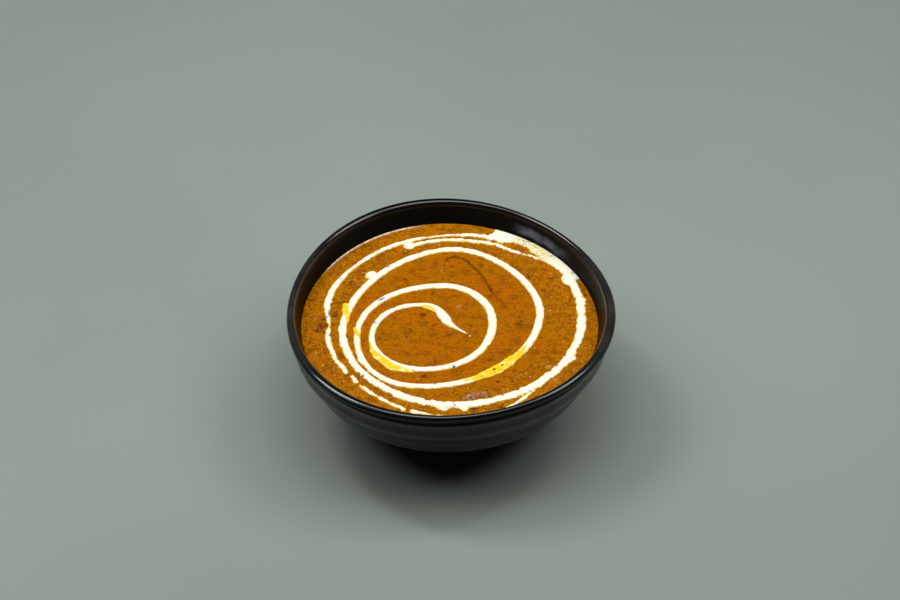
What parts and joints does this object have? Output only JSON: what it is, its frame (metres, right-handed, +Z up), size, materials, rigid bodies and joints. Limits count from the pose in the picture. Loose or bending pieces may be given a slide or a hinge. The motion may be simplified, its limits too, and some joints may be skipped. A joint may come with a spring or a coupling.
{
  "type": "bowl of dal makhani",
  "caption": "Thick lentil curry with a poured spiral of cream, melted butter and kidney beans, served level in a round black bowl on a foot ring.",
  "frame": {"origin": "On the table under the middle of the bowl's outline, in the plane of the foot ring's underside", "axes": "+Z up; +Y to the back of the bowl, where the pool of cream lies against the wall on the right; +X to the right"},
  "size_m": [0.152, 0.152, 0.058],
  "materials": {
    "glaze": "black satin glaze",
    "curry": "moist, slightly glossy",
    "cream": "smooth, moist",
    "butter": "glossy, melted",
    "bean": "smooth, moist"
  },
  "bodies": {
    "root": {"bowl": "glaze", "dal": "curry", "kidney_bean_front": "bean", "kidney_bean_left": "bean"}
  },
  "joints": []
}
